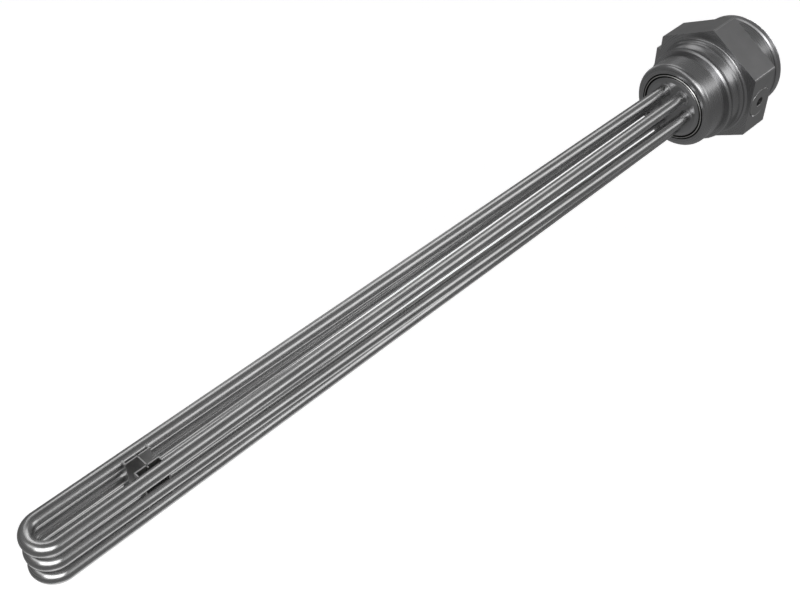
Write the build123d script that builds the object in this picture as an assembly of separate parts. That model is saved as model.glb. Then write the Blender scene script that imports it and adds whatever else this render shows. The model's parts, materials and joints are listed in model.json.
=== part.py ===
from build123d import *
import math
import os

# Jacket water heating element: three stacked hairpins in one screw-in hexagon plug.
# Frame: X is the plug's axis and the origin is on it, at the shoulder's seating face.
# The hairpins point to -X, the hexagon and the cover to +X.
# Two corners of the hexagon are at +Z and -Z, its two ported flats face +Y and -Y.
# All sizes are in millimetres.

# Hairpins
SHEATH_OD = 8.2
SHEATH_WALL = 0.7
STACK_PITCH = 11.52
OUTER_LEG_Y = 6.55
MIDDLE_LEG_Y = 12.6
BEND_RADIUS = 9.85
BEND_CENTRE_X = -514.9
KINK_X = -24.0
KINK_RADIUS = 320.0
SHEATH_REAR_X = -2.0
COLD_END_X = -75.0

# Filling, coil envelope and cold pins inside each sheath
FILL_REAR_X = -6.0
COIL_ENVELOPE_OD = 3.2
PIN_OD = 3.0
STUD_OD = 4.0
STUD_REAR_X = 17.5
STUD_CHAMFER = 0.4

# Ceramic end bushes
BUSH_FLANGE_OD = 7.6
BUSH_FLANGE_LENGTH = 6.0
BUSH_EDGE_ROUND = 0.5

# Plug, front part
FACE_X = -19.1
NECK_OD = 59.6
NECK_EDGE_ROUND = 4.0
SHOULDER_OD = 66.4
SHOULDER_CHAMFER = 1.0
LIP_END_X = 1.5
WAIST_X = 3.0
WAIST_OD = 65.0
WAIST_REAR_X = 9.5
WAIST_REAR_OD = 65.7
WAIST_FRONT_SLOPE = -0.25
WAIST_REAR_SLOPE = 0.75
RIDGE_X = 14.0
RIDGE_OD = 68.0
RIDGE_FLAT = 0.35
HEX_FRONT_X = 16.1

# Plug, hexagon and rear barrel
HEX_AF = 76.2
HEX_THICKNESS = 23.3
HEX_EDGE_BREAK = 0.55
BARREL_OD = 64.0
BARREL_REAR_X = 55.2
BARREL_EDGE_BREAK = 0.4

# Plug, bores
RING_SEAT_OD = 48.0
RING_SEAT_DEPTH = 2.5
RING_SEAT_EDGE_BREAK = 0.35
HEADER_OD = 43.6
HEADER_THICKNESS = 12.0
LEDGE_OD = 39.0
LEDGE_LENGTH = 3.0
CHAMBER_OD = 48.0

# Header disc and its weld ring
HUB_RISE = 1.1
HUB_BASE_OD = 42.6
HUB_TOP_OD = 38.2
HUB_EDGE_ROUND = 0.4
HEADER_RIM_DROP = 0.55
RING_GAP = 0.75
RING_GAP_DEPTH = 1.5
RING_CROWN = 0.25
RING_CROWN_FLAT = 0.25
RING_INNER_CHAMFER = 0.1
BRAZE_FLARE_OD = 10.0
BRAZE_HEIGHT = 1.3
BRAZE_HOLLOW_SHARE = 0.3

# Spacer near the hairpins' bends
SPACER_FROM_BEND = 56.6
SPACER_LENGTH = 15.6
SPACER_TOP_Z = 15.0
SHEET = 0.9
PLATE_OUTER_Y = 4.4
LIP_REACH_Y = 11.3
NOTCH_CLEARANCE = 0.1
SLOT_DEPTH = 3.0
SLOT_CLEARANCE = 0.1
TAB_DROP = 0.8
TAB_PROUD = 0.8

# Ports in the two side flats
PORT_X = 27.75
PORT_OD = 21.0
PORT_EDGE_BREAK = 0.5
PORT_CLEARANCE = 0.05
BUSHING_PROUD = 0.3
BUSHING_EDGE_ROUND = 0.5
CABLE_HOLE_OD = 6.6
CABLE_HOLE_EDGE_BREAK = 0.2
SQUARE_HEAD_AF = 20.0
SQUARE_HEAD_HEIGHT = 4.4
SQUARE_HEAD_EDGE_BREAK = 0.5

# Rear cover and its seal
COVER_OD = 66.4
COVER_THICKNESS = 6.3
COVER_EDGE_ROUND = 2.6
COVER_FRONT_CHAMFER = 0.9
SPIGOT_LENGTH = 7.0
SPIGOT_CLEARANCE = 0.1
SPIGOT_CHAMFER = 0.6
SPIGOT_BORE_OD = 40.0
SPIGOT_BORE_DEPTH = 5.0
SEAL_SECTION = 2.2
SEAL_GROOVE_DEPTH = 1.8
SEAL_GROOVE_SIDE_GAP = 0.2
SEAL_FLAT_SHARE = 0.35
SEAL_FROM_COVER = 3.4

# Terminal hardware in the chamber
NUT_AF = 7.0
NUT_THICKNESS = 3.2
NUT_ROUNDING_SHARE = 1.12
NUT_ROUNDING_CHAMFER = 0.35
WASHER_OD = 8.4
WASHER_THICKNESS = 0.8
LINK_THICKNESS = 1.2
LINK_WIDTH = 8.0
STUD_CLEARANCE = 0.05

# How far a cut runs past the surface that it opens
CUT_OVERSHOOT = 1.0

# Derived sizes
SHEATH_R = SHEATH_OD / 2
SHEATH_BORE_R = SHEATH_R - SHEATH_WALL
SPACER_X = BEND_CENTRE_X + SPACER_FROM_BEND
HEX_REAR_X = HEX_FRONT_X + HEX_THICKNESS
HEX_CORNER_R = HEX_AF / 2 / math.cos(math.radians(30))
HEADER_REAR_X = FACE_X + HEADER_THICKNESS
CHAMBER_FRONT_X = HEADER_REAR_X + LEDGE_LENGTH
BUSH_REAR_X = SHEATH_REAR_X + BUSH_FLANGE_LENGTH
LINK_X = BUSH_REAR_X + NUT_THICKNESS
WASHER_X = LINK_X + LINK_THICKNESS
REAR_NUT_X = WASHER_X + WASHER_THICKNESS

# Name of each hairpin, its height and its legs' distance from the middle plane
HAIRPINS = [
    ("top", STACK_PITCH, OUTER_LEG_Y),
    ("middle", 0.0, MIDDLE_LEG_Y),
    ("bottom", -STACK_PITCH, OUTER_LEG_Y),
]
SIDES = [("left", 1), ("right", -1)]


def turned(points):
    """A body of revolution about X from a closed outline of (x, radius) points."""
    return revolve(make_face(Polyline(*points, close=True)), axis=Axis.X)


def rod(x0, x1, diameter, y=0.0, z=0.0):
    """A round bar along X."""
    return Pos((x0 + x1) / 2, y, z) * Rot(0, 90, 0) * Cylinder(diameter / 2, x1 - x0)


def tube(x0, x1, outer, inner, y=0.0, z=0.0):
    """A round tube along X."""
    return rod(x0, x1, outer, y, z) - rod(x0, x1, inner, y, z)


def across(y0, y1, diameter, x):
    """A round bar along Y."""
    return Pos(x, (y0 + y1) / 2, 0) * Rot(90, 0, 0) * Cylinder(diameter / 2, y1 - y0)


def single(shape):
    """The one solid of a shape."""
    return shape.solids()[0]


# Centre line of one hairpin
def leg_angle(leg_y):
    """The angle by which a leg runs in or out between the header and the bend."""
    reach = KINK_X - BEND_CENTRE_X
    return math.asin(BEND_RADIUS / math.hypot(leg_y, reach)) - math.atan2(leg_y, reach)


def leg_points(leg_y):
    """Points of the left leg: both ends of the kink, the cold end and the bend's start."""
    angle = leg_angle(leg_y)
    run = KINK_RADIUS * math.tan(abs(angle) / 2)
    bend_x = BEND_CENTRE_X + BEND_RADIUS * math.sin(angle)
    bend_y = BEND_RADIUS * math.cos(angle)
    kink_in = (KINK_X + run, leg_y)
    kink_out = (KINK_X - run * math.cos(angle), leg_y + run * math.sin(angle))
    cold_y = leg_y + (KINK_X - COLD_END_X) * math.tan(angle)
    return kink_in, kink_out, (COLD_END_X, cold_y), (bend_x, bend_y)


def leg_wire(x_start, leg_y, z, side):
    """The centre line of one leg from a place in the header to the cold end."""
    kink_in, kink_out, cold, bend = leg_points(leg_y)
    straight = Line((x_start, side * leg_y, z), (kink_in[0], side * kink_in[1], z))
    curve = TangentArc(
        (kink_in[0], side * kink_in[1], z), (kink_out[0], side * kink_out[1], z), tangent=(-1, 0, 0)
    )
    run = Line((kink_out[0], side * kink_out[1], z), (cold[0], side * cold[1], z))
    return [straight, curve, run]


def hot_wire(leg_y, z):
    """The centre line from the left cold end round the bend to the right cold end."""
    kink_in, kink_out, cold, bend = leg_points(leg_y)
    left = Line((cold[0], cold[1], z), (bend[0], bend[1], z))
    arc = ThreePointArc(
        (bend[0], bend[1], z), (BEND_CENTRE_X - BEND_RADIUS, 0, z), (bend[0], -bend[1], z)
    )
    right = Line((bend[0], -bend[1], z), (cold[0], -cold[1], z))
    return [left, arc, right]


def swept(edges, outer, inner=0.0):
    """A round bar or tube along a chain of edges."""
    path = Wire(edges)
    section = Plane(origin=path @ 0, z_dir=path % 0)
    body = sweep(section * Circle(outer / 2), path=path)
    if inner:
        body -= sweep(section * Circle(inner / 2), path=path)
    return body


def reversed_leg(edges):
    """The same chain taken from its far end."""
    return [Edge.make_line(e @ 1, e @ 0) if e.geom_type == GeomType.LINE else
            Edge.make_three_point_arc(e @ 1, e @ 0.5, e @ 0) for e in reversed(edges)]


def hairpin_edges(x_start, leg_y, z):
    """The whole centre line of a hairpin, left leg first."""
    left = leg_wire(x_start, leg_y, z, 1)
    right = leg_wire(x_start, leg_y, z, -1)
    return left + hot_wire(leg_y, z) + reversed_leg(right)


# Hairpin pieces
def hairpin_sheath(leg_y, z):
    edges = hairpin_edges(SHEATH_REAR_X, leg_y, z)
    return single(swept(edges, SHEATH_OD, 2 * SHEATH_BORE_R))


def magnesia_fill(leg_y, z):
    fill = swept(hot_wire(leg_y, z), 2 * SHEATH_BORE_R, COIL_ENVELOPE_OD)
    for name, side in SIDES:
        fill += swept(leg_wire(FILL_REAR_X, leg_y, z, side), 2 * SHEATH_BORE_R, PIN_OD)
    return single(fill)


def heating_coil(leg_y, z):
    return single(swept(hot_wire(leg_y, z), COIL_ENVELOPE_OD))


def terminal_pin(leg_y, z, side):
    pin = swept(leg_wire(BUSH_REAR_X, leg_y, z, side), PIN_OD)
    stud = rod(BUSH_REAR_X, STUD_REAR_X, STUD_OD, side * leg_y, z)
    stud = chamfer(stud.edges().sort_by(Axis.X)[-1], STUD_CHAMFER)
    return single(pin + stud)


def ceramic_bush(leg_y, z, side):
    y = side * leg_y
    flange = rod(SHEATH_REAR_X, BUSH_REAR_X, BUSH_FLANGE_OD, y, z)
    flange = fillet(flange.edges().sort_by(Axis.X)[-1], BUSH_EDGE_ROUND)
    spigot = rod(FILL_REAR_X, SHEATH_REAR_X, 2 * SHEATH_BORE_R, y, z)
    hole = rod(FILL_REAR_X, BUSH_REAR_X, PIN_OD, y, z)
    return single(flange + spigot - hole)


# Plug pieces
def plug_body():
    neck_r = NECK_OD / 2
    shoulder_r = SHOULDER_OD / 2
    edge = SHOULDER_CHAMFER
    fillet_x = RIDGE_X + RIDGE_FLAT
    fillet_r = HEX_FRONT_X - fillet_x
    fillet_top = RIDGE_OD / 2 + fillet_r
    diag = math.sqrt(0.5)
    outline = [
        Line((FACE_X, 0), (FACE_X, neck_r - NECK_EDGE_ROUND)),
        ThreePointArc(
            (FACE_X, neck_r - NECK_EDGE_ROUND),
            (FACE_X + NECK_EDGE_ROUND * (1 - diag), neck_r - NECK_EDGE_ROUND * (1 - diag)),
            (FACE_X + NECK_EDGE_ROUND, neck_r),
        ),
        Line((FACE_X + NECK_EDGE_ROUND, neck_r), (0, neck_r)),
        Line((0, neck_r), (0, shoulder_r - edge)),
        Line((0, shoulder_r - edge), (edge, shoulder_r)),
        Line((edge, shoulder_r), (LIP_END_X, shoulder_r)),
        Spline(
            (LIP_END_X, shoulder_r),
            (WAIST_X, WAIST_OD / 2),
            (WAIST_REAR_X, WAIST_REAR_OD / 2),
            (RIDGE_X - RIDGE_FLAT, RIDGE_OD / 2),
            tangents=[(1, WAIST_FRONT_SLOPE), (1, WAIST_REAR_SLOPE)],
        ),
        Line((RIDGE_X - RIDGE_FLAT, RIDGE_OD / 2), (fillet_x, RIDGE_OD / 2)),
        ThreePointArc(
            (fillet_x, RIDGE_OD / 2),
            (fillet_x + fillet_r * diag, fillet_top - fillet_r * diag),
            (HEX_FRONT_X, fillet_top),
        ),
        Line((HEX_FRONT_X, fillet_top), (HEX_FRONT_X, 0)),
        Line((HEX_FRONT_X, 0), (FACE_X, 0)),
    ]
    front = revolve(make_face(outline), axis=Axis.X)

    corners = RegularPolygon(radius=HEX_CORNER_R, side_count=6)
    hexagon = extrude(Plane.YZ.offset(HEX_FRONT_X) * Rot(0, 0, 90) * corners, HEX_THICKNESS)
    hexagon = chamfer(hexagon.edges().filter_by(Axis.X), HEX_EDGE_BREAK)

    barrel = rod(HEX_REAR_X, BARREL_REAR_X, BARREL_OD)
    barrel = chamfer(barrel.edges().sort_by(Axis.X)[-1], BARREL_EDGE_BREAK)

    seat_r = RING_SEAT_OD / 2
    seat_x = FACE_X + RING_SEAT_DEPTH
    bores = turned([
        (FACE_X - CUT_OVERSHOOT, 0),
        (FACE_X - CUT_OVERSHOOT, seat_r + RING_SEAT_EDGE_BREAK + CUT_OVERSHOOT),
        (FACE_X + RING_SEAT_EDGE_BREAK, seat_r),
        (seat_x, seat_r),
        (seat_x, HEADER_OD / 2),
        (HEADER_REAR_X, HEADER_OD / 2),
        (HEADER_REAR_X, LEDGE_OD / 2),
        (CHAMBER_FRONT_X, LEDGE_OD / 2),
        (CHAMBER_FRONT_X, CHAMBER_OD / 2),
        (BARREL_REAR_X - BARREL_EDGE_BREAK, CHAMBER_OD / 2),
        (BARREL_REAR_X + CUT_OVERSHOOT, CHAMBER_OD / 2 + BARREL_EDGE_BREAK + CUT_OVERSHOOT),
        (BARREL_REAR_X + CUT_OVERSHOOT, 0),
    ])
    ports = across(-HEX_AF, HEX_AF, PORT_OD, PORT_X)
    flat_y = HEX_AF / 2
    for name, side in SIDES:
        rim = Cone(PORT_OD / 2, PORT_OD / 2 + PORT_EDGE_BREAK, PORT_EDGE_BREAK)
        rim = Rot(-90 * side, 0, 0) * rim
        ports += Pos(PORT_X, side * (flat_y - PORT_EDGE_BREAK / 2), 0) * rim
    return single(front + hexagon + barrel - bores - ports)


def header_disc():
    rim_x = FACE_X + HEADER_RIM_DROP
    disc = turned([
        (FACE_X - HUB_RISE, 0),
        (FACE_X - HUB_RISE, HUB_TOP_OD / 2),
        (FACE_X, HUB_BASE_OD / 2),
        (rim_x, HEADER_OD / 2),
        (HEADER_REAR_X, HEADER_OD / 2),
        (HEADER_REAR_X, 0),
    ])
    top_edge = disc.edges().filter_by(GeomType.CIRCLE).sort_by(Axis.X)[0]
    disc = fillet(top_edge, HUB_EDGE_ROUND)
    for name, z, leg_y in HAIRPINS:
        for word, side in SIDES:
            disc -= rod(FACE_X - HUB_RISE, HEADER_REAR_X, SHEATH_OD, side * leg_y, z)
    return single(disc)


def header_weld_ring():
    """The ring between disc and seat, with a bevelled crown that stands free of both."""
    inner = HEADER_OD / 2
    outer = RING_SEAT_OD / 2
    gap_x = FACE_X + RING_GAP_DEPTH
    top_x = FACE_X - RING_CROWN
    top_inner = inner + RING_GAP + RING_INNER_CHAMFER
    top_outer = top_inner + RING_CROWN_FLAT
    crown_outer = outer - RING_GAP
    return single(turned([
        (top_x + RING_INNER_CHAMFER, inner + RING_GAP),
        (top_x, top_inner),
        (top_x, top_outer),
        (top_x + crown_outer - top_outer, crown_outer),
        (gap_x, crown_outer),
        (gap_x, outer),
        (FACE_X + RING_SEAT_DEPTH, outer),
        (FACE_X + RING_SEAT_DEPTH, inner),
        (gap_x, inner),
        (gap_x, inner + RING_GAP),
    ]))


def braze_fillets():
    """One small flared fillet round each leg, where it leaves the header's hub."""
    hub_x = FACE_X - HUB_RISE
    flare = BRAZE_FLARE_OD / 2
    mid_r = SHEATH_R + (flare - SHEATH_R) * BRAZE_HOLLOW_SHARE
    mid_x = hub_x - BRAZE_HEIGHT * BRAZE_HOLLOW_SHARE
    top_x = hub_x - BRAZE_HEIGHT
    outline = [
        Line((hub_x, SHEATH_R), (hub_x, flare)),
        ThreePointArc((hub_x, flare), (mid_x, mid_r), (top_x, SHEATH_R)),
        Line((top_x, SHEATH_R), (hub_x, SHEATH_R)),
    ]
    bead = revolve(make_face(outline), axis=Axis.X)
    beads = [Pos(0, side * leg_y, z) * bead for name, z, leg_y in HAIRPINS for word, side in SIDES]
    return Compound(children=[single(b) for b in beads])


# Port pieces
def port_bushing_right():
    flat_y = HEX_AF / 2
    body = across(-flat_y - BUSHING_PROUD, -CHAMBER_OD / 2, PORT_OD - 2 * PORT_CLEARANCE, PORT_X)
    body = fillet(body.edges().sort_by(Axis.Y)[0], BUSHING_EDGE_ROUND)
    hole = across(-flat_y - CUT_OVERSHOOT, -CHAMBER_OD / 2 + CUT_OVERSHOOT, CABLE_HOLE_OD, PORT_X)
    bushing = body - hole
    outer_rim = bushing.edges().filter_by(GeomType.CIRCLE).filter_by(
        lambda e: abs(e.radius - CABLE_HOLE_OD / 2) < 0.01
    ).sort_by(Axis.Y)[0]
    bushing = chamfer(outer_rim, CABLE_HOLE_EDGE_BREAK)
    return single(bushing - rod(PORT_X - HEX_AF, PORT_X + HEX_AF, CHAMBER_OD))


def port_plug_left():
    flat_y = HEX_AF / 2
    body = across(CHAMBER_OD / 2, flat_y, PORT_OD - 2 * PORT_CLEARANCE, PORT_X)
    head = Pos(PORT_X, flat_y + SQUARE_HEAD_HEIGHT / 2, 0) * Box(
        SQUARE_HEAD_AF, SQUARE_HEAD_HEIGHT, SQUARE_HEAD_AF
    )
    head = chamfer(head.faces().sort_by(Axis.Y)[-1].edges(), SQUARE_HEAD_EDGE_BREAK)
    return single(body + head - rod(PORT_X - HEX_AF, PORT_X + HEX_AF, CHAMBER_OD))


# Cover pieces
def rear_cover():
    cover_r = COVER_OD / 2
    rear_x = BARREL_REAR_X + COVER_THICKNESS
    disc = rod(BARREL_REAR_X, rear_x, COVER_OD)
    disc = fillet(disc.edges().sort_by(Axis.X)[-1], COVER_EDGE_ROUND)
    disc = chamfer(disc.edges().sort_by(Axis.X)[0], COVER_FRONT_CHAMFER)
    spigot_od = CHAMBER_OD - 2 * SPIGOT_CLEARANCE
    spigot = rod(BARREL_REAR_X - SPIGOT_LENGTH, BARREL_REAR_X, spigot_od)
    spigot = chamfer(spigot.edges().sort_by(Axis.X)[0], SPIGOT_CHAMFER)
    spigot_x = BARREL_REAR_X - SPIGOT_LENGTH
    spigot -= rod(spigot_x, spigot_x + SPIGOT_BORE_DEPTH, SPIGOT_BORE_OD)
    seal_x = BARREL_REAR_X - SEAL_FROM_COVER
    groove_half = SEAL_SECTION / 2 + SEAL_GROOVE_SIDE_GAP
    groove_od = CHAMBER_OD - 2 * SEAL_GROOVE_DEPTH
    groove = tube(seal_x - groove_half, seal_x + groove_half, CHAMBER_OD, groove_od)
    return single(disc + spigot - groove)


def cover_seal():
    """The cover's O-ring, as squeezed between its groove and the chamber's wall."""
    seal_x = BARREL_REAR_X - SEAL_FROM_COVER
    half = SEAL_SECTION / 2
    inner = CHAMBER_OD / 2 - SEAL_GROOVE_DEPTH
    outer = CHAMBER_OD / 2
    mid = (inner + outer) / 2
    flat = half * SEAL_FLAT_SHARE
    outline = [
        Line((seal_x - flat, inner), (seal_x + flat, inner)),
        ThreePointArc((seal_x + flat, inner), (seal_x + half, mid), (seal_x + flat, outer)),
        Line((seal_x + flat, outer), (seal_x - flat, outer)),
        ThreePointArc((seal_x - flat, outer), (seal_x - half, mid), (seal_x - flat, inner)),
    ]
    return single(revolve(make_face(outline), axis=Axis.X))


# Spacer pieces
def notch_y():
    """How far from the middle plane a leg runs at the spacer, outer pairs and middle pair."""
    places = []
    for name, z, leg_y in HAIRPINS:
        kink_in, kink_out, cold, bend = leg_points(leg_y)
        share = (kink_out[0] - SPACER_X) / (kink_out[0] - bend[0])
        places.append((kink_out[1] + share * (bend[1] - kink_out[1]), z))
    return places


def spacer_channel(side):
    height = 2 * SPACER_TOP_Z
    inner_y = PLATE_OUTER_Y - SHEET
    plate = Pos(SPACER_X, (PLATE_OUTER_Y + inner_y) / 2, 0) * Box(SPACER_LENGTH, SHEET, height)
    lip_width = LIP_REACH_Y - inner_y
    for end in (-1, 1):
        lip_x = SPACER_X + end * (SPACER_LENGTH - SHEET) / 2
        plate += Pos(lip_x, inner_y + lip_width / 2, 0) * Box(SHEET, lip_width, height)
    for y, z in notch_y():
        notch_od = SHEATH_OD + 2 * NOTCH_CLEARANCE
        plate -= rod(SPACER_X - SPACER_LENGTH, SPACER_X + SPACER_LENGTH, notch_od, y, z)
    for y, z in notch_y():
        if z:
            beyond = math.copysign(SPACER_TOP_Z, z)
            corner_z = (z + beyond) / 2 + math.copysign(CUT_OVERSHOOT, z)
            corner_height = abs(beyond - z) + 2 * CUT_OVERSHOOT
            corner = Box(2 * SPACER_LENGTH, LIP_REACH_Y, corner_height)
            plate -= Pos(SPACER_X, y + LIP_REACH_Y / 2, corner_z) * corner
    slot_width = SHEET + 2 * SLOT_CLEARANCE
    for end in (-1, 1):
        slot_z = end * (SPACER_TOP_Z - SLOT_DEPTH / 2)
        slot = Box(slot_width, 2 * SHEET, SLOT_DEPTH)
        plate -= Pos(SPACER_X, (PLATE_OUTER_Y + inner_y) / 2, slot_z) * slot
    body = single(plate)
    return body if side > 0 else single(mirror(body, about=Plane.XZ))


def spacer_web():
    inner_y = PLATE_OUTER_Y - SHEET
    web = Pos(SPACER_X, 0, 0) * Box(SHEET, 2 * inner_y, 2 * SPACER_TOP_Z)
    tab_height = SLOT_DEPTH - TAB_DROP
    reach = PLATE_OUTER_Y + TAB_PROUD
    for end in (-1, 1):
        tab_z = end * (SPACER_TOP_Z - TAB_DROP - tab_height / 2)
        web += Pos(SPACER_X, 0, tab_z) * Box(SHEET, 2 * reach, tab_height)
    return single(web)


# Terminal hardware
def stud_places():
    return [(side * leg_y, z) for name, z, leg_y in HAIRPINS for word, side in SIDES]


def hexagon_nut(x):
    corner_r = NUT_AF / 2 / math.cos(math.radians(30))
    outline = RegularPolygon(radius=corner_r, side_count=6)
    blank = extrude(Plane.YZ.offset(x) * outline, NUT_THICKNESS)
    rounding = rod(x, x + NUT_THICKNESS, NUT_AF * NUT_ROUNDING_SHARE)
    rounding = chamfer(rounding.edges().filter_by(GeomType.CIRCLE), NUT_ROUNDING_CHAMFER)
    return (blank & rounding) - rod(x, x + NUT_THICKNESS, STUD_OD)


def terminal_nuts():
    nuts = []
    for y, z in stud_places():
        for x in (BUSH_REAR_X, REAR_NUT_X):
            nuts.append(single(Pos(0, y, z) * hexagon_nut(x)))
    return Compound(children=nuts)


def terminal_washers():
    washer = tube(WASHER_X, WASHER_X + WASHER_THICKNESS, WASHER_OD, STUD_OD + 2 * STUD_CLEARANCE)
    return Compound(children=[single(Pos(0, y, z) * washer) for y, z in stud_places()])


def terminal_link(side):
    """A flat strip that joins the three studs on one side."""
    places = [(side * leg_y, z) for name, z, leg_y in HAIRPINS]
    link = None
    for (y0, z0), (y1, z1) in zip(places, places[1:]):
        length = math.hypot(y1 - y0, z1 - z0)
        turn = math.degrees(math.atan2(z1 - z0, y1 - y0))
        bar = Rot(turn, 0, 0) * Box(LINK_THICKNESS, length, LINK_WIDTH)
        bar = Pos(LINK_X + LINK_THICKNESS / 2, (y0 + y1) / 2, (z0 + z1) / 2) * bar
        link = bar if link is None else link + bar
    for y, z in places:
        link += rod(LINK_X, LINK_X + LINK_THICKNESS, LINK_WIDTH, y, z)
    for y, z in places:
        link -= rod(LINK_X, LINK_X + LINK_THICKNESS, STUD_OD + 2 * STUD_CLEARANCE, y, z)
    return single(link)


# Every piece under its own name
pieces = {
    "plug_body": plug_body(),
    "header_disc": header_disc(),
    "header_weld_ring": header_weld_ring(),
    "braze_fillets": braze_fillets(),
    "port_bushing_right": port_bushing_right(),
    "port_plug_left": port_plug_left(),
    "rear_cover": rear_cover(),
    "cover_seal": cover_seal(),
    "spacer_channel_left": spacer_channel(1),
    "spacer_channel_right": spacer_channel(-1),
    "spacer_web": spacer_web(),
    "terminal_nuts": terminal_nuts(),
    "terminal_washers": terminal_washers(),
    "terminal_link_left": terminal_link(1),
    "terminal_link_right": terminal_link(-1),
}
for name, z, leg_y in HAIRPINS:
    pieces["hairpin_sheath_" + name] = hairpin_sheath(leg_y, z)
    pieces["magnesia_fill_" + name] = magnesia_fill(leg_y, z)
    pieces["heating_coil_" + name] = heating_coil(leg_y, z)
    for word, side in SIDES:
        pieces["terminal_pin_" + name + "_" + word] = terminal_pin(leg_y, z, side)
        pieces["ceramic_bush_" + name + "_" + word] = ceramic_bush(leg_y, z, side)

os.makedirs("parts", exist_ok=True)
for name, shape in pieces.items():
    export_step(shape, "parts/" + name + ".step")
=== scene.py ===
# %% [markdown]
# # A jacket water heating element in Blender
#
# The object is an immersion heater for an engine's cooling jacket: three long U-shaped tubes, the
# hairpins, that leave a round header and are carried by a screw-in plug with a hexagon.
# The solids come from a CAD program and are already in place. This lesson gives them their finish,
# makes the pieces whose looks need more than CAD faces, and sets up a small studio.
#
# The first cell loads the CAD solids. X runs along the plug's axis and all lengths are metres.

# %% Load the solids
import json
import math
import bpy
import bmesh
from mathutils import Matrix, Vector

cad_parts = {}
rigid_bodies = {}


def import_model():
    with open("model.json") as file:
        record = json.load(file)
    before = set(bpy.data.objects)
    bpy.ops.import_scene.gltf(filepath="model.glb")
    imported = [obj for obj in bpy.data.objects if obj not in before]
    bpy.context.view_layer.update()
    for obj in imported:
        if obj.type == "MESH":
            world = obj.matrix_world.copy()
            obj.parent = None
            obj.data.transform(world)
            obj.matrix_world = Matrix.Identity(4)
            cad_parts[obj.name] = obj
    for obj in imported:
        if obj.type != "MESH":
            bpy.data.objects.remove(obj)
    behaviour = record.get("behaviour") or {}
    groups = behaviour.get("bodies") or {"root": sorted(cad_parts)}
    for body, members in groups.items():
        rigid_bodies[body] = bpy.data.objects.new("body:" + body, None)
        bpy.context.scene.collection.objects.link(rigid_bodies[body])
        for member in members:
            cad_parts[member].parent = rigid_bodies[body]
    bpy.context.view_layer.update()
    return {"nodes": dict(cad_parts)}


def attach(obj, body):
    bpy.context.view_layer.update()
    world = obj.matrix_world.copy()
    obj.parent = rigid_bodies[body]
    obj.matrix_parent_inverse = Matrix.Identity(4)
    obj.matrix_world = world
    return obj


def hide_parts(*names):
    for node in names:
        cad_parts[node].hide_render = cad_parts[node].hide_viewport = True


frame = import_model()
nodes = frame["nodes"]
MM = 0.001

# %% [markdown]
# ## The camera
#
# A product photographer stands in front of the bends, to the left of the heater and above it, so
# that the hairpins run away from the lens and the hexagon closes the picture at its upper right.
# A camera can be aimed with a constraint, or by its three axes. The axes are used here, because
# they also hold the slight roll that the picture has.

# %% The camera
CAMERA_AT = Vector((-0.63946775, -0.36832502, 0.51884518))
LOOKS_ALONG = Vector((0.49378806, 0.50302101, -0.70932589)).normalized()
PICTURE_UP = Vector((0.50205658, 0.50110724, 0.70486220)).normalized()
LENS_MM = 57.2687
SENSOR_MM = 36.0

camera = bpy.data.objects.new("camera", bpy.data.cameras.new("camera"))
bpy.context.scene.collection.objects.link(camera)
right = LOOKS_ALONG.cross(PICTURE_UP).normalized()
up = right.cross(LOOKS_ALONG)
camera.matrix_world = Matrix.Translation(CAMERA_AT) @ Matrix((right, up, -LOOKS_ALONG)).transposed().to_4x4()
camera.data.lens = LENS_MM
camera.data.sensor_width = SENSOR_MM
camera.data.clip_end = 50.0
bpy.context.scene.camera = camera
print("camera", [round(v, 3) for v in CAMERA_AT], "lens", LENS_MM)

# %% [markdown]
# ## Small helpers for materials
#
# Every finish below is a small graph of nodes. One function adds a node with its settings and its
# links, which keeps the graphs short to read. Colours are written as hex values, as in any paint
# program, and one function turns them into the linear light that Blender mixes with.

# %% Helpers for colours and nodes
def linear(hex_colour):
    """The linear RGBA of an sRGB hex colour."""
    channels = [int(hex_colour[i:i + 2], 16) / 255 for i in (1, 3, 5)]
    return [c / 12.92 if c <= 0.04045 else ((c + 0.055) / 1.055) ** 2.4 for c in channels] + [1.0]


def add(tree, kind, settings=None, links=None):
    """Adds one node. A setting is a property or an unlinked socket; a link is a socket's source."""
    node = tree.nodes.new(kind)
    for key, value in (settings or {}).items():
        if isinstance(key, str) and key in node.bl_rna.properties:
            setattr(node, key, value)
        else:
            node.inputs[key].default_value = value
    for key, source in (links or {}).items():
        tree.links.new(source, node.inputs[key])
    return node


def new_material(name):
    """An empty material: its tree and its output node."""
    material = bpy.data.materials.new(name)
    material.use_nodes = True
    material.node_tree.nodes.clear()
    output = add(material.node_tree, "ShaderNodeOutputMaterial")
    return material, material.node_tree, output


print("steel grey #767574 is", [round(c, 3) for c in linear("#767574")[:3]], "in linear light")

# %% [markdown]
# ## Turned and milled stainless steel
#
# The plug is turned from hexagon bar. A lathe tool leaves fine rings round the axis, which give
# satin steel a highlight that is stretched across them. The rings could be painted as an image;
# here a one-way noise runs over the distance along the profile, so that they follow each step and
# cone by themselves. The feed of the real tool is near 0.2 mm, too fine to see, so the rings are
# drawn at 0.7 mm.

# %% The lathe rings
RING_SPACING_MM = 0.7
RADIUS_SHARE = 1.37


def plug_place(tree):
    """Where a point lies: its place, its coordinates, and its distance from the plug's axis."""
    place = add(tree, "ShaderNodeTexCoord").outputs["Object"]
    axes = add(tree, "ShaderNodeSeparateXYZ", links={0: place}).outputs
    across = add(tree, "ShaderNodeCombineXYZ", links={1: axes["Y"], 2: axes["Z"]})
    radius = add(tree, "ShaderNodeVectorMath", {"operation": "LENGTH"}, {0: across.outputs[0]})
    return place, axes, radius.outputs["Value"]


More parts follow.
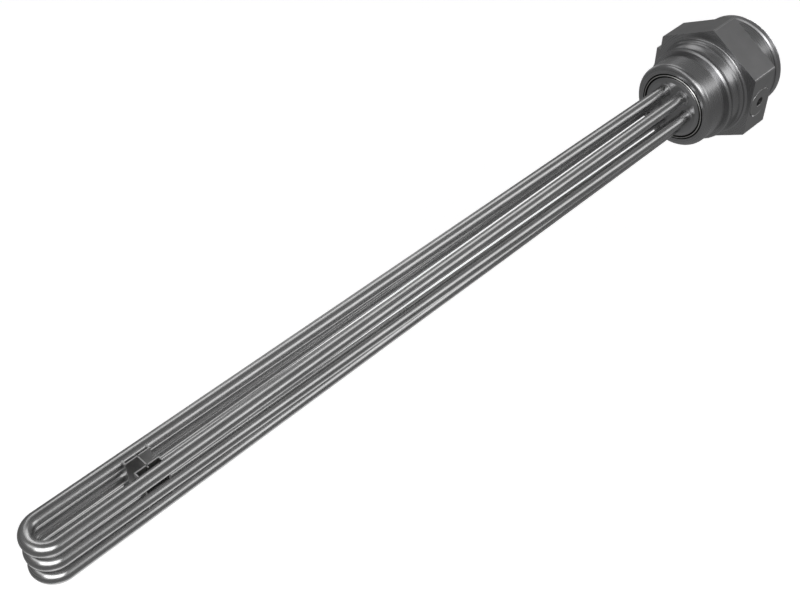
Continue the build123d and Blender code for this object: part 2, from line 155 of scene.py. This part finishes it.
def lathe_rings(tree, axes, radius):
    """Fine rings round the axis. They run over x and radius together, so that a face rings too."""
    profile = add(tree, "ShaderNodeMath", {"operation": "MULTIPLY_ADD", 1: RADIUS_SHARE},
                  {0: radius, 2: axes["X"]})
    count = add(tree, "ShaderNodeMath", {"operation": "MULTIPLY", 1: 1 / (RING_SPACING_MM * MM)},
                {0: profile.outputs[0]})
    rings = add(tree, "ShaderNodeTexNoise", {"noise_dimensions": "1D", "Scale": 1.0, "Detail": 2.0},
                {"W": count.outputs[0]})
    return rings.outputs["Fac"]


print("a ring every", RING_SPACING_MM, "mm along the profile")

# %% [markdown]
# The hexagon isn't turned. Its flats keep the straight, faint lines of the drawn bar. They could
# have a material of their own, but the plug is one solid, so the flats are told from the turned
# faces by their distance from the axis, and by a normal that doesn't point along it.

# %% The hexagon's flats
BAR_LINE_SPACING_MM = 0.9
BAR_LINE_RUN_MM = 71.4
FLATS_FROM_MM = 37.8


def bar_lines(tree, axes, face_normal):
    """Faint lines along the bar. On a flat, y * normal z - z * normal y is the place across it."""
    normal = add(tree, "ShaderNodeSeparateXYZ", links={0: face_normal}).outputs
    one = add(tree, "ShaderNodeMath", {"operation": "MULTIPLY"}, {0: axes["Y"], 1: normal["Z"]})
    other = add(tree, "ShaderNodeMath", {"operation": "MULTIPLY"}, {0: axes["Z"], 1: normal["Y"]})
    sideways = add(tree, "ShaderNodeMath", {"operation": "SUBTRACT"},
                   {0: one.outputs[0], 1: other.outputs[0]})
    place = add(tree, "ShaderNodeCombineXYZ", links={0: axes["X"], 1: sideways.outputs[0]})
    stretch = add(tree, "ShaderNodeMapping",
                  {"Scale": (1 / (BAR_LINE_RUN_MM * MM), 1 / (BAR_LINE_SPACING_MM * MM), 1.0)},
                  {"Vector": place.outputs[0]})
    lines = add(tree, "ShaderNodeTexNoise", {"noise_dimensions": "2D", "Scale": 1.0, "Detail": 2.0},
                {"Vector": stretch.outputs[0]})
    # The drawn bar is smoother than the turned faces, so its lines keep a fifth of their range.
    faint = add(tree, "ShaderNodeMapRange", {"To Min": 0.42, "To Max": 0.6}, {"Value": lines.outputs["Fac"]})
    return faint.outputs[0]


def on_hexagon(tree, normal, radius, most_along):
    """One beyond the turned faces, where a normal has at most so much along the axis."""
    along = add(tree, "ShaderNodeMath", {"operation": "ABSOLUTE"},
                {0: add(tree, "ShaderNodeSeparateXYZ", links={0: normal}).outputs["X"]})
    level = add(tree, "ShaderNodeMath", {"operation": "LESS_THAN", 1: most_along}, {0: along.outputs[0]})
    far_out = add(tree, "ShaderNodeMath", {"operation": "GREATER_THAN", 1: FLATS_FROM_MM * MM}, {0: radius})
    return add(tree, "ShaderNodeMath", {"operation": "MULTIPLY"},
               {0: far_out.outputs[0], 1: level.outputs[0]}).outputs[0]


print("bar lines", BAR_LINE_SPACING_MM, "mm apart, from", FLATS_FROM_MM, "mm off the axis")

# %% [markdown]
# Spanners have polished the hexagon's six corners, so they are a little round and bright. The CAD
# solid could carry that rounding. A Bevel node rounds only what the light sees, which is enough
# for an edge about a pixel wide, and where its normal has turned, the corner is polished.

# %% The hexagon's corners
CORNER_ROUND_MM = 1.1
POLISHED_CORNER_COLOUR = "#f6f6f6"


def polished_corners(tree, radius, face_normal):
    """A normal that rounds the six corners, and a mask of where they are polished."""
    rounded = add(tree, "ShaderNodeBevel", {"samples": 8, "Radius": CORNER_ROUND_MM * MM}).outputs["Normal"]
    corner = on_hexagon(tree, rounded, radius, 0.1)
    surface = add(tree, "ShaderNodeMix", {"data_type": "VECTOR"}, {0: corner, 4: face_normal, 5: rounded})
    agree = add(tree, "ShaderNodeVectorMath", {"operation": "DOT_PRODUCT"}, {0: rounded, 1: face_normal})
    turned = add(tree, "ShaderNodeMapRange", {"From Min": 0.999, "From Max": 0.98},
                 {"Value": agree.outputs["Value"]})
    polish = add(tree, "ShaderNodeMath", {"operation": "MULTIPLY"}, {0: corner, 1: turned.outputs[0]})
    return surface.outputs[1], polish.outputs[0]


print("corners rounded by", CORNER_ROUND_MM, "mm")

# %% [markdown]
# Beside the weld ring two narrow grooves stay open, and shade falls into them. That shade could
# be found with an ambient occlusion node, but that is slow and grainy in so narrow a groove. A
# mask from the distance along the axis and the radius paints a dark shade into all three pieces that meet
# there.

# %% Painted shade in the grooves beside the weld ring
# The groove colour below is painted shade, darkest deeper in the grooves.
SEAM_STARTS_X, SEAM_DARK_X, SEAM_ENDS_X = -19.08, -18.8, -16.0
SEAM_MIDDLE_R, SEAM_HALF_WIDTH = 22.65, 1.45
SEAM_SHADE_COLOUR = "#1c1a18"


def with_painted_groove_shade(tree, colour, axes, radius):
    """The colour, with a dark shade painted into the grooves beside the weld ring."""
    depth = add(tree, "ShaderNodeMapRange", {"From Min": SEAM_STARTS_X * MM, "From Max": SEAM_DARK_X * MM},
                {"Value": axes["X"]})
    near = add(tree, "ShaderNodeMath",
               {"operation": "COMPARE", 1: SEAM_MIDDLE_R * MM, 2: SEAM_HALF_WIDTH * MM}, {0: radius})
    front = add(tree, "ShaderNodeMath", {"operation": "LESS_THAN", 1: SEAM_ENDS_X * MM}, {0: axes["X"]})
    there = add(tree, "ShaderNodeMath", {"operation": "MULTIPLY"}, {0: near.outputs[0], 1: front.outputs[0]})
    groove_shade = add(tree, "ShaderNodeMath", {"operation": "MULTIPLY"}, {0: there.outputs[0], 1: depth.outputs[0]})
    # This mix paints the dark shade into the colour wherever the groove mask is on.
    return add(tree, "ShaderNodeMix", {"data_type": "RGBA", 7: linear(SEAM_SHADE_COLOUR)},
               {0: groove_shade.outputs[0], 6: colour}).outputs[2]


print("grooves from radius", round(SEAM_MIDDLE_R - SEAM_HALF_WIDTH, 2), "to",
      round(SEAM_MIDDLE_R + SEAM_HALF_WIDTH, 2), "mm")

# %% [markdown]
# Four steels share these parts: the plug, its cover, the header disc and the fittings. They differ
# in their grey, their roughness and the depth of their rings. A soft cloud moves the grey a little,
# as on any metal that has been handled.

# %% The turned steels
CLOUD_MM = 16.67


def turned_steel(name, colour, roughness, ring_depth_mm, has_hexagon):
    """Satin stainless steel with lathe rings, and with flats and corners where it has a hexagon."""
    material, tree, output = new_material(name)
    place, axes, radius = plug_place(tree)
    lines = lathe_rings(tree, axes, radius)
    if has_hexagon:
        face_normal = add(tree, "ShaderNodeNewGeometry").outputs["Normal"]
        on_flat = on_hexagon(tree, face_normal, radius, 0.5)
        lines = add(tree, "ShaderNodeMix", {"data_type": "FLOAT"},
                    {0: on_flat, 2: lines, 3: bar_lines(tree, axes, face_normal)}).outputs[0]
    cloud = add(tree, "ShaderNodeTexNoise", {"Scale": 1 / (CLOUD_MM * MM), "Detail": 4.0, "Roughness": 0.6},
                {"Vector": place})
    tone = add(tree, "ShaderNodeMapRange", {"From Min": 0.3, "From Max": 0.7, "To Min": 0.93, "To Max": 1.05},
               {"Value": cloud.outputs["Fac"]})
    clean = add(tree, "ShaderNodeMix",
                {"data_type": "RGBA", "blend_type": "MULTIPLY", 0: 1.0, 6: linear(colour)},
                {7: tone.outputs[0]})
    # Painted shade in the grooves beside the weld ring.
    base = with_painted_groove_shade(tree, clean.outputs[2], axes, radius)
    gloss = add(tree, "ShaderNodeMapRange",
                {"From Min": 0.25, "From Max": 0.75, "To Min": roughness - 0.05, "To Max": roughness + 0.07},
                {"Value": lines})
    bump = add(tree, "ShaderNodeBump", {"Strength": 1.0, "Distance": ring_depth_mm * MM}, {"Height": lines})
    if has_hexagon:
        surface, polish = polished_corners(tree, radius, face_normal)
        tree.links.new(surface, bump.inputs["Normal"])
        base = add(tree, "ShaderNodeMix", {"data_type": "RGBA", 7: linear(POLISHED_CORNER_COLOUR)},
                   {0: polish, 6: base}).outputs[2]
    shader = add(tree, "ShaderNodeBsdfPrincipled", {"Metallic": 1.0},
                 {"Base Color": base, "Roughness": gloss.outputs[0], "Normal": bump.outputs[0]})
    tree.links.new(shader.outputs[0], output.inputs["Surface"])
    return material


plug_steel = turned_steel("turned_hexagon_bar_steel", "#b2b2b3", 0.28, 0.0045, True)
cover_steel = turned_steel("turned_cover_steel", "#bababb", 0.3, 0.005, False)
header_steel = turned_steel("turned_header_steel", "#b4b4b5", 0.32, 0.006, False)
fitting_steel = turned_steel("turned_fitting_steel", "#b2b2b2", 0.36, 0.006, False)
print("steels:", plug_steel.name, cover_steel.name, header_steel.name, fitting_steel.name)

# %% [markdown]
# ## Drawn tube for the hairpins
#
# The sheaths are seamless tube, drawn through a die, filled, rolled down and bent. The die leaves
# very fine lines along the tube, and the bend keeps them, so the pattern has to follow the tube.
# For that the tube mesh carries two attributes: how far along it a point is and how far round.
# The real lines are finer than a pixel, so they are drawn 0.9 mm apart.

# %% The sheaths' material
SHEATH_OD = 8.2
SHEATH_COLOUR = "#c3c3c3"
DIE_LINE_MM, DIE_LINE_RUN_MM = 0.91, 50.0
MOTTLE_MM, MOTTLE_RUN_MM = 5.125, 16.67
DIE_LINE_DEPTH_MM = 0.0006


def drawn_tube_steel():
    """Satin drawn stainless tube. The lines follow the attributes along_mm and round_turn."""
    material, tree, output = new_material("drawn_sheath_steel")
    along = add(tree, "ShaderNodeAttribute", {"attribute_name": "along_mm"}).outputs["Fac"]
    turn = add(tree, "ShaderNodeAttribute", {"attribute_name": "round_turn"}).outputs["Fac"]
    angle = add(tree, "ShaderNodeMath", {"operation": "MULTIPLY", 1: 2 * math.pi}, {0: turn})
    cosine = add(tree, "ShaderNodeMath", {"operation": "COSINE"}, {0: angle.outputs[0]})
    sine = add(tree, "ShaderNodeMath", {"operation": "SINE"}, {0: angle.outputs[0]})
    # The noise is read on a straight tube of radius one, so a size round it is a share of the radius.
    ring = add(tree, "ShaderNodeCombineXYZ", links={0: cosine.outputs[0], 1: sine.outputs[0], 2: along})
    line_share = SHEATH_OD / DIE_LINE_MM
    stretch = add(tree, "ShaderNodeMapping", {"Scale": (line_share, line_share, 1 / DIE_LINE_RUN_MM)},
                  {"Vector": ring.outputs[0]})
    lines = add(tree, "ShaderNodeTexNoise", {"Scale": 1.0, "Detail": 3.0}, {"Vector": stretch.outputs[0]})
    mottle_share = SHEATH_OD / 2 / MOTTLE_MM
    patch = add(tree, "ShaderNodeMapping", {"Scale": (mottle_share, mottle_share, 1 / MOTTLE_RUN_MM)},
                {"Vector": ring.outputs[0]})
    mottle = add(tree, "ShaderNodeTexNoise", {"Scale": 1.0, "Detail": 4.0}, {"Vector": patch.outputs[0]})
    tone = add(tree, "ShaderNodeMapRange", {"From Min": 0.3, "From Max": 0.7, "To Min": 0.9, "To Max": 1.06},
               {"Value": mottle.outputs["Fac"]})
    base = add(tree, "ShaderNodeMix",
               {"data_type": "RGBA", "blend_type": "MULTIPLY", 0: 1.0, 6: linear(SHEATH_COLOUR)},
               {7: tone.outputs[0]})
    gloss = add(tree, "ShaderNodeMapRange",
                {"From Min": 0.3, "From Max": 0.7, "To Min": 0.23, "To Max": 0.29},
                {"Value": lines.outputs["Fac"]})
    bump = add(tree, "ShaderNodeBump", {"Strength": 1.0, "Distance": DIE_LINE_DEPTH_MM * MM},
               {"Height": lines.outputs["Fac"]})
    shader = add(tree, "ShaderNodeBsdfPrincipled", {"Metallic": 1.0},
                 {"Base Color": base.outputs[2], "Roughness": gloss.outputs[0], "Normal": bump.outputs[0]})
    tree.links.new(shader.outputs[0], output.inputs["Surface"])
    return material


sheath_steel = drawn_tube_steel()
print("sheath:", sheath_steel.name, "with lines", DIE_LINE_MM, "mm apart")

# %% [markdown]
# ## The hairpins
#
# Each hairpin is one tube bent back on itself. It leaves the header straight, opens a little so
# that the bend at its end can have the radius that a bending tool allows, and returns. The tube
# could be modelled as a bevelled curve. Geometry Nodes are used instead, because the tree can write
# the two attributes that the drawn lines follow, and because its sizes stay named inputs.

# %% The path of one hairpin
STACK_PITCH = 11.52
OUTER_LEG_Y = 6.55
MIDDLE_LEG_Y = 12.6
BEND_RADIUS = 9.85
BEND_CENTRE_X = -514.9
KINK_X = -24.0
KINK_RADIUS = 320.0
SHEATH_REAR_X = -2.0
HEADER_X = -12.0
KINK_STEPS, LEG_STEPS, BEND_STEPS = 4, 12, 56
HAIRPINS = [("top", STACK_PITCH, OUTER_LEG_Y), ("middle", 0.0, MIDDLE_LEG_Y),
            ("bottom", -STACK_PITCH, OUTER_LEG_Y)]


def hairpin_points(leg_y):
    """The centre line in the hairpin's plane, in mm: left leg, bend and right leg."""
    reach = KINK_X - BEND_CENTRE_X
    lean = math.asin(BEND_RADIUS / math.hypot(leg_y, reach)) - math.atan2(leg_y, reach)
    run = KINK_RADIUS * math.tan(abs(lean) / 2)
    half = [(SHEATH_REAR_X, leg_y), (HEADER_X, leg_y), (KINK_X + run, leg_y)]
    side = math.copysign(1, lean)
    for step in range(1, KINK_STEPS + 1):
        a = abs(lean) * step / KINK_STEPS
        half.append((KINK_X + run - KINK_RADIUS * math.sin(a),
                     leg_y + side * KINK_RADIUS * (1 - math.cos(a))))
    start_x = BEND_CENTRE_X + BEND_RADIUS * math.sin(lean)
    start_y = BEND_RADIUS * math.cos(lean)
    last_x, last_y = half[-1]
    for step in range(1, LEG_STEPS + 1):
        share = step / LEG_STEPS
        half.append((last_x + share * (start_x - last_x), last_y + share * (start_y - last_y)))
    bend = []
    sweep = math.pi + 2 * lean
    for step in range(1, BEND_STEPS):
        a = math.pi / 2 - lean + sweep * step / BEND_STEPS
        bend.append((BEND_CENTRE_X + BEND_RADIUS * math.cos(a), BEND_RADIUS * math.sin(a)))
    return half + bend + [(x, -y) for x, y in reversed(half)]


for name, z, leg_y in HAIRPINS:
    points = hairpin_points(leg_y)
    print(name, len(points), "points, bend reaches x", round(min(p[0] for p in points), 2))

# %% [markdown]
# The tree below sweeps a circle along any path. It stores the length along the path before the
# sweep and the share of a turn on the circle, so both reach the finished tube as attributes. They
# could be worked out later from each point's place, but in the bend that is hard, and here it is free.

# %% The tube tree
def tube_tree():
    """Geometry Nodes that sweep a circle along a curve and store where each point lies."""
    tree = bpy.data.node_groups.new("tube_along_path", "GeometryNodeTree")
    sockets = tree.interface
    sockets.new_socket("Geometry", in_out="INPUT", socket_type="NodeSocketGeometry")
    sockets.new_socket("Outside Diameter", in_out="INPUT", socket_type="NodeSocketFloat")
    sockets.new_socket("Sides", in_out="INPUT", socket_type="NodeSocketInt")
    sockets.new_socket("Material", in_out="INPUT", socket_type="NodeSocketMaterial")
    sockets.new_socket("Geometry", in_out="OUTPUT", socket_type="NodeSocketGeometry")
    given = add(tree, "NodeGroupInput").outputs
    half = add(tree, "ShaderNodeMath", {"operation": "MULTIPLY", 1: 0.5}, {0: given["Outside Diameter"]})
    circle = add(tree, "GeometryNodeCurvePrimitiveCircle",
                 links={"Resolution": given["Sides"], "Radius": half.outputs[0]})
    distance = add(tree, "GeometryNodeSplineParameter")
    in_mm = add(tree, "ShaderNodeMath", {"operation": "MULTIPLY", 1: 1 / MM}, {0: distance.outputs["Length"]})
    path = add(tree, "GeometryNodeStoreNamedAttribute",
               {"data_type": "FLOAT", "domain": "POINT", "Name": "along_mm"},
               {"Geometry": given["Geometry"], "Value": in_mm.outputs[0]})
    turn = add(tree, "GeometryNodeSplineParameter")
    ring = add(tree, "GeometryNodeStoreNamedAttribute",
               {"data_type": "FLOAT", "domain": "POINT", "Name": "round_turn"},
               {"Geometry": circle.outputs["Curve"], "Value": turn.outputs["Factor"]})
    tube = add(tree, "GeometryNodeCurveToMesh",
               links={"Curve": path.outputs["Geometry"], "Profile Curve": ring.outputs["Geometry"]})
    real = add(tree, "GeometryNodeRealizeInstances", links={"Geometry": tube.outputs["Mesh"]})
    painted = add(tree, "GeometryNodeSetMaterial",
                  links={"Geometry": real.outputs["Geometry"], "Material": given["Material"]})
    add(tree, "NodeGroupOutput", links={"Geometry": painted.outputs["Geometry"]})
    return tree


tube_nodes = tube_tree()
print("tube tree:", len(tube_nodes.nodes), "nodes")

# %% [markdown]
# The tree runs as a modifier on a plain curve. Its result is then taken as an ordinary mesh, and a
# Solidify modifier gives the sheath its real wall, so that the tube is closed at its cut ends.

# %% Sweep the three sheaths
SHEATH_WALL = 0.7
SHEATH_SIDES = 48


def run_nodes(holder, tree, inputs):
    """Runs a Geometry Nodes tree on an object and returns its result as a plain mesh."""
    modifier = holder.modifiers.new("nodes", "NODES")
    modifier.node_group = tree
    for item in tree.interface.items_tree:
        if item.in_out == "INPUT" and item.name in inputs:
            modifier[item.identifier] = inputs[item.name]
    bpy.context.view_layer.update()
    graph = bpy.context.evaluated_depsgraph_get()
    mesh = bpy.data.meshes.new_from_object(holder.evaluated_get(graph), depsgraph=graph)
    holder.modifiers.remove(modifier)
    bpy.data.objects.remove(holder)
    return mesh


def place_mesh(name, mesh, replaced):
    """Puts a finished mesh in the scene as a piece that stands for CAD nodes."""
    piece = bpy.data.objects.new(name, mesh)
    bpy.context.scene.collection.objects.link(piece)
    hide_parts(*replaced)
    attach(piece, "root")
    return piece


for name, z, leg_y in HAIRPINS:
    curve = bpy.data.curves.new("path_" + name, "CURVE")
    curve.dimensions = "3D"
    spline = curve.splines.new("POLY")
    points = hairpin_points(leg_y)
    spline.points.add(len(points) - 1)
    for point, (x, y) in zip(spline.points, points):
        point.co = (x * MM, y * MM, z * MM, 1.0)
    holder = bpy.data.objects.new("path_" + name, curve)
    bpy.context.scene.collection.objects.link(holder)
    mesh = run_nodes(holder, tube_nodes,
                     {"Outside Diameter": SHEATH_OD * MM, "Sides": SHEATH_SIDES, "Material": sheath_steel})
    mesh.shade_smooth()
    piece = place_mesh("sheath_" + name, mesh, ["hairpin_sheath_" + name])
    wall = piece.modifiers.new("wall", "SOLIDIFY")
    wall.thickness = SHEATH_WALL * MM
    wall.offset = -1.0
    reach = [v.co.x / MM for v in mesh.vertices]
    print(piece.name, len(reach), "points, x from", round(min(reach), 2), "to", round(max(reach), 2), "mm")

# %% [markdown]
# ## Plain finishes for the inner pieces
#
# The heater is closed, but its inside is built too: magnesia powder round the coil, nickel-plated
# pins, steatite bushes, brass nuts and links, and a rubber seal. Each gets the finish that it would
# show if the cover came off. The weld, the braze and the spacer's sheet use the same small graph:
# only a colour, a roughness and a grain size differ, so one function makes them all.

# %% Finishes with a fine grain
def plain_finish(name, colour, metallic, roughness, grain_mm, depth_mm, tone_range, paint_groove_shade=False):
    """A finish with a fine grain: the grain moves the tone, the roughness and the surface."""
    material, tree, output = new_material(name)
    place = add(tree, "ShaderNodeTexCoord").outputs["Object"]
    grain = add(tree, "ShaderNodeTexNoise", {"Scale": 1 / (grain_mm * MM), "Detail": 5.0, "Roughness": 0.6},
                {"Vector": place})
    tone = add(tree, "ShaderNodeMapRange",
               {"From Min": 0.3, "From Max": 0.7, "To Min": 1 - tone_range, "To Max": 1 + tone_range / 2},
               {"Value": grain.outputs["Fac"]})
    base = add(tree, "ShaderNodeMix",
               {"data_type": "RGBA", "blend_type": "MULTIPLY", 0: 1.0, 6: linear(colour)},
               {7: tone.outputs[0]}).outputs[2]
    # Where asked, the same painted shade goes into the grooves beside the weld ring.
    if paint_groove_shade:
        _, axes, radius = plug_place(tree)
        base = with_painted_groove_shade(tree, base, axes, radius)
    gloss = add(tree, "ShaderNodeMapRange",
                {"From Min": 0.3, "From Max": 0.7, "To Min": roughness - 0.05, "To Max": roughness + 0.08},
                {"Value": grain.outputs["Fac"]})
    bump = add(tree, "ShaderNodeBump", {"Strength": 1.0, "Distance": depth_mm * MM},
               {"Height": grain.outputs["Fac"]})
    shader = add(tree, "ShaderNodeBsdfPrincipled", {"Metallic": metallic},
                 {"Base Color": base, "Roughness": gloss.outputs[0], "Normal": bump.outputs[0]})
    tree.links.new(shader.outputs[0], output.inputs["Surface"])
    return material


# The weld metal carries the painted shade of the grooves beside it.
weld_metal = plain_finish("ground_weld_metal", "#dededc", 1.0, 0.3, 1.2, 0.001, 0.06, paint_groove_shade=True)
braze_metal = plain_finish("nickel_braze", "#a9a9aa", 1.0, 0.5, 0.9, 0.01, 0.08)
spacer_sheet = plain_finish("pressed_stainless_sheet", "#b4b4b4", 1.0, 0.34, 0.8, 0.006, 0.08)
pin_plating = plain_finish("nickel_plated_pin", "#c9c3b6", 1.0, 0.28, 0.6, 0.004, 0.06)
steatite = plain_finish("fired_steatite", "#e2dccd", 0.0, 0.6, 0.5, 0.02, 0.06)
magnesia = plain_finish("packed_magnesia_powder", "#d9d4c6", 0.0, 0.85, 0.3, 0.05, 0.1)
brass = plain_finish("machined_brass", "#d3b46c", 1.0, 0.3, 0.6, 0.004, 0.08)
seal_rubber = plain_finish("moulded_nitrile_rubber", "#1d1d1e", 0.0, 0.55, 0.4, 0.01, 0.1)

FINISHES = {
    "plug_body": plug_steel, "header_disc": header_steel, "header_weld_ring": weld_metal,
    "braze_fillets": braze_metal, "port_bushing_right": fitting_steel, "port_plug_left": fitting_steel,
    "rear_cover": cover_steel, "cover_seal": seal_rubber, "spacer_channel_left": spacer_sheet,
    "spacer_channel_right": spacer_sheet, "spacer_web": spacer_sheet, "terminal_nuts": brass,
    "terminal_washers": brass, "terminal_link_left": brass, "terminal_link_right": brass,
}
PREFIXES = {"magnesia_fill": magnesia, "heating_coil": magnesia, "terminal_pin": pin_plating,
            "ceramic_bush": steatite, "hairpin_sheath": sheath_steel}
for name, solid in nodes.items():
    finish = FINISHES.get(name)
    for prefix, other in PREFIXES.items():
        finish = other if name.startswith(prefix) else finish
    solid.data.materials.clear()
    solid.data.materials.append(finish)
print("finishes on", len(nodes), "solids")

# %% [markdown]
# ## The spacer's edges
#
# A pressed clip near the bends keeps the legs apart: two folded channels and a web between them.
# Such sheet is tumbled after it is cut, so each edge is a little round and catches a thin line of
# light. The CAD solids have knife edges. A copy of each is merged, and a Bevel modifier breaks the
# edges, which is quicker and cleaner than to model the sheet again.

# %% Break the edges of the sheet
EDGE_BREAK_MM = 0.22
SAME_POINT_MM = 0.002
FLAT_WITHIN_DEG = 1
SHARP_FROM_DEG = 50


def with_broken_edges(name, node):
    """A copy of a CAD solid, merged, with its sharp edges rounded."""
    mesh = nodes[node].data.copy()
    shape = bmesh.new()
    shape.from_mesh(mesh)
    bmesh.ops.remove_doubles(shape, verts=shape.verts, dist=SAME_POINT_MM * MM)
    bmesh.ops.dissolve_limit(shape, angle_limit=math.radians(FLAT_WITHIN_DEG), verts=shape.verts,
                             edges=shape.edges)
    shape.to_mesh(mesh)
    shape.free()
    piece = place_mesh(name, mesh, [node])
    bevel = piece.modifiers.new("edge_break", "BEVEL")
    bevel.width = EDGE_BREAK_MM * MM
    bevel.segments = 2
    bevel.limit_method = "ANGLE"
    bevel.angle_limit = math.radians(SHARP_FROM_DEG)
    return piece


for part in ("spacer_channel_left", "spacer_channel_right", "spacer_web"):
    piece = with_broken_edges("sheet_" + part, part)
    print(piece.name, len(piece.data.polygons), "faces before the bevel")

# %% [markdown]
# ## The studio
#
# Satin metal shows what stands round it, so the lights are the second half of its finish. The
# heater is held well above a white table, which glows evenly, so that the background stays white
# and no shadow falls on it. The steel of the photograph shows no table, so the table is kept out
# of the reflections here. The steel mirrors only the room then: a dim grey dome, and large soft
# boxes at its walls.

# %% The table
FLOOR_Z = -0.40
FLOOR_HALF = 30.0
floor_mesh = bpy.data.meshes.new("floor")
floor_corners = [(x * FLOOR_HALF, y * FLOOR_HALF, FLOOR_Z)
                 for x, y in ((-1, -1), (1, -1), (1, 1), (-1, 1))]
floor_mesh.from_pydata(floor_corners, [], [(0, 1, 2, 3)])
floor = bpy.data.objects.new("floor", floor_mesh)
bpy.context.scene.collection.objects.link(floor)
floor_material, floor_tree, floor_output = new_material("pale_light_table")
screen = add(floor_tree, "ShaderNodeBsdfPrincipled",
             {"Base Color": linear("#e8e8e8"), "Roughness": 0.9,
              "Emission Color": linear("#ffffff"), "Emission Strength": 0.55})
floor_tree.links.new(screen.outputs[0], floor_output.inputs["Surface"])
floor_mesh.materials.append(floor_material)
floor.visible_glossy = False
floor.visible_shadow = False
print("floor at z", FLOOR_Z)

# %% [markdown]
# A photographer of shiny metal stands black cards between the lamps and the object, so that each
# part sees only the lamps that draw it well. The cards could be modelled, but light linking does
# the same without them: a lamp names the collection of objects that it lights. Two collections are
# enough, one for the long tubes with the spacer and the table, and one for the plug.

# %% What each lamp lights
tubes_lit = bpy.data.collections.new("lit_with_the_tubes")
plug_lit = bpy.data.collections.new("lit_with_the_plug")
slim = [o for o in bpy.context.scene.objects if o.name.startswith(("sheath_", "sheet_spacer"))]
for thing in slim + [floor]:
    tubes_lit.objects.link(thing)
for name, solid in nodes.items():
    group = tubes_lit if name.startswith(("hairpin_sheath", "spacer_")) else plug_lit
    group.objects.link(solid)

# %% [markdown]
# A soft box is an area lamp that is large seen from the heater, so its reflection is a broad, soft
# patch. Its place and size are given as angles, because a mirror shows directions, not distances.
# Each box was placed where the steel has to be bright, and is as strong as that patch is bright.

# %% The soft boxes
ROOM = 6.0
ROOM_CENTRE = Vector((-0.2, 0, 0))


def soft_box(name, lights, azimuth, elevation, width, height, radiance):
    """A soft box at the studio's wall. Its place and its size are angles seen from the heater."""
    a, e = math.radians(azimuth), math.radians(elevation)
    back = Vector((math.cos(e) * math.cos(a), math.cos(e) * math.sin(a), math.sin(e)))
    light = bpy.data.lights.new(name, "AREA")
    light.shape = "RECTANGLE"
    light.size = 2 * ROOM * math.tan(math.radians(width / 2))
    light.size_y = 2 * ROOM * math.tan(math.radians(height / 2))
    light.energy = radiance * math.pi * light.size * light.size_y
    lamp = bpy.data.objects.new(name, light)
    bpy.context.scene.collection.objects.link(lamp)
    sideways = Vector((0, 0, 1)).cross(back).normalized()
    turn = Matrix((sideways, back.cross(sideways), back)).transposed().to_4x4()
    lamp.matrix_world = Matrix.Translation(ROOM_CENTRE + back * ROOM) @ turn
    lamp.visible_camera = False
    lamp.light_linking.receiver_collection = lights
    return lamp


# The right and the left box draw the bright lines along the tubes, the front ones light the bends.
soft_box("tubes_right", tubes_lit, -58, 25, 38, 26, 1.2)
soft_box("tubes_left", tubes_lit, 52, 43, 44, 23, 1.05)
soft_box("tubes_by_the_camera", tubes_lit, -139, 43, 56, 35, 2.6)
soft_box("tubes_front_left", tubes_lit, 166, 50, 36, 24, 0.7)
soft_box("tubes_left_low", tubes_lit, 64, -2, 20, 40, 0.3)
soft_box("tubes_below", tubes_lit, 0, -89, 64, 64, 0.8)
# The plug's boxes each light one side of its neck, of its steps and of its cover.
soft_box("plug_front", plug_lit, -148, 36, 31, 20, 3.3)
soft_box("plug_over", plug_lit, -113, 52, 40, 26, 1.25)
soft_box("plug_right", plug_lit, -51, 34, 32, 24, 1.2)
soft_box("plug_left", plug_lit, 51, 36, 16, 40, 0.65)
soft_box("plug_left_low", plug_lit, 64, -4, 30, 26, 0.32)
soft_box("plug_front_left", plug_lit, 142, 54, 70, 17, 0.75)
soft_box("plug_behind", plug_lit, 6, -1, 40, 14, 5.0)

# %% [markdown]
# The dome is a world colour that changes with the direction: a colour ramp over the height makes it
# dim overhead and a little brighter where the boxes stand.

# %% The dome
world = bpy.data.worlds.new("studio")
bpy.context.scene.world = world
world.use_nodes = True
dome = world.node_tree
direction = add(dome, "ShaderNodeTexCoord").outputs["Generated"]
height = add(dome, "ShaderNodeSeparateXYZ", links={0: direction})
level = add(dome, "ShaderNodeMapRange", {"From Min": -1.0, "From Max": 1.0}, {"Value": height.outputs["Z"]})
ramp = add(dome, "ShaderNodeValToRGB", links={"Fac": level.outputs[0]})
DOME = [(-90, 0.22), (-50, 0.21), (-20, 0.16), (0, 0.145), (12, 0.15),
        (35, 0.19), (55, 0.21), (75, 0.12), (90, 0.12)]
stops = ramp.color_ramp.elements
while len(stops) < len(DOME):
    stops.new(0.5)
for stop, (angle, radiance) in zip(stops, DOME):
    stop.position = (math.sin(math.radians(angle)) + 1) / 2
    stop.color = (radiance, radiance, radiance, 1.0)
dome.links.new(ramp.outputs["Color"], dome.nodes["Background"].inputs["Color"])
bpy.context.scene.view_settings.view_transform = "Standard"
